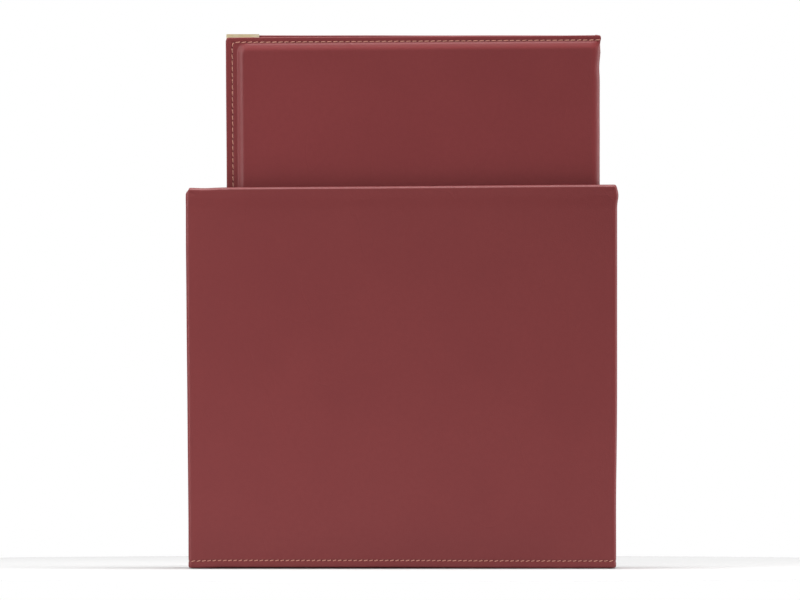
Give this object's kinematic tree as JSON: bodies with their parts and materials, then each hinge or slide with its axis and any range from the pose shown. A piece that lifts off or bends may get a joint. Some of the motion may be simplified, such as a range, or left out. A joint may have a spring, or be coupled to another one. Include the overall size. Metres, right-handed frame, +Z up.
{
  "type": "coin album",
  "caption": "Padded leatherette ring-binder coin album with brass corners, drawn partly out of its matching open-topped slipcase.",
  "frame": {"origin": "under the middle of the slipcase, on the surface that it stands on", "axes": "+Z up, along the album's travel; +X towards the album's spine; -Y towards the back cover's side"},
  "size_m": [0.286, 0.062, 0.3565],
  "materials": {
    "leatherette": "smooth satin burgundy leatherette with fine grain and tan stitching",
    "board": "matt greyboard",
    "padding": "thin foam under the leatherette",
    "lining": "matt dark burgundy lining paper",
    "brass": "polished brass-plated steel",
    "steel": "nickel-plated steel",
    "page": "clear vinyl pocket page"
  },
  "bodies": {
    "slipcase": {"slipcase_front_board": "board", "slipcase_back_board": "board", "slipcase_left_board": "board", "slipcase_right_board": "board", "slipcase_base_board": "board", "slipcase_wrap": "leatherette", "slipcase_base_wrap": "leatherette", "slipcase_lining": "lining"},
    "album": {"spine_board": "board", "spine_leather": "leatherette", "spine_lining": "lining", "ring_housing": "steel", "housing_rivet_upper": "steel", "housing_rivet_lower": "steel", "coin_page_1": "page", "coin_page_2": "page", "coin_page_3": "page", "coin_page_4": "page", "coin_page_5": "page", "coin_page_6": "page"},
    "near_rings": {"near_blade": "steel", "near_ring_1": "steel", "near_ring_2": "steel", "near_ring_3": "steel", "near_ring_4": "steel"},
    "far_rings": {"far_blade": "steel", "far_ring_1": "steel", "far_ring_2": "steel", "far_ring_3": "steel", "far_ring_4": "steel"},
    "upper_lever": {"upper_lever": "steel"},
    "lower_lever": {"lower_lever": "steel"},
    "back_cover": {"back_cover_board": "board", "back_cover_padding": "padding", "back_cover_leather": "leatherette", "back_cover_lining": "lining"},
    "front_cover": {"front_cover_board": "board", "front_cover_padding": "padding", "front_cover_leather": "leatherette", "front_cover_lining": "lining", "brass_corner_upper": "brass", "brass_corner_lower": "brass"}
  },
  "joints": [
    {"name": "album_slide", "type": "slide", "parent": "slipcase", "child": "album", "axis": [0, 0, 1], "range_m": [-0.074, 0.16]},
    {"name": "back_cover_hinge", "type": "hinge", "parent": "album", "child": "back_cover", "pos_m": [0.13, -0.016, 0.2177], "axis": [0, 0, 1], "range_deg": [0, 1.5]},
    {"name": "front_cover_hinge", "type": "hinge", "parent": "album", "child": "front_cover", "pos_m": [0.13, 0.019, 0.2177], "axis": [0, 0, -1], "range_deg": [0, 0.75]},
    {"name": "near_blade_pivot", "type": "hinge", "parent": "album", "child": "near_rings", "pos_m": [0.1256, -0.0103, 0.2177], "axis": [0, 0, 1], "range_deg": [0, 10]},
    {"name": "far_blade_pivot", "type": "hinge", "parent": "album", "child": "far_rings", "pos_m": [0.1256, 0.0133, 0.2177], "axis": [0, 0, -1], "range_deg": [0, 10]},
    {"name": "upper_lever_pivot", "type": "hinge", "parent": "album", "child": "upper_lever", "pos_m": [0.127, 0.0015, 0.3502], "axis": [0, 1, 0], "range_deg": [0, 12]},
    {"name": "lower_lever_pivot", "type": "hinge", "parent": "album", "child": "lower_lever", "pos_m": [0.127, 0.0015, 0.0852], "axis": [0, -1, 0], "range_deg": [0, 12]}
  ],
  "couplings": [
    {"joint": "far_blade_pivot", "follows": "near_blade_pivot", "ratio": 1},
    {"joint": "upper_lever_pivot", "follows": "near_blade_pivot", "ratio": 1.2},
    {"joint": "lower_lever_pivot", "follows": "near_blade_pivot", "ratio": 1.2}
  ]
}
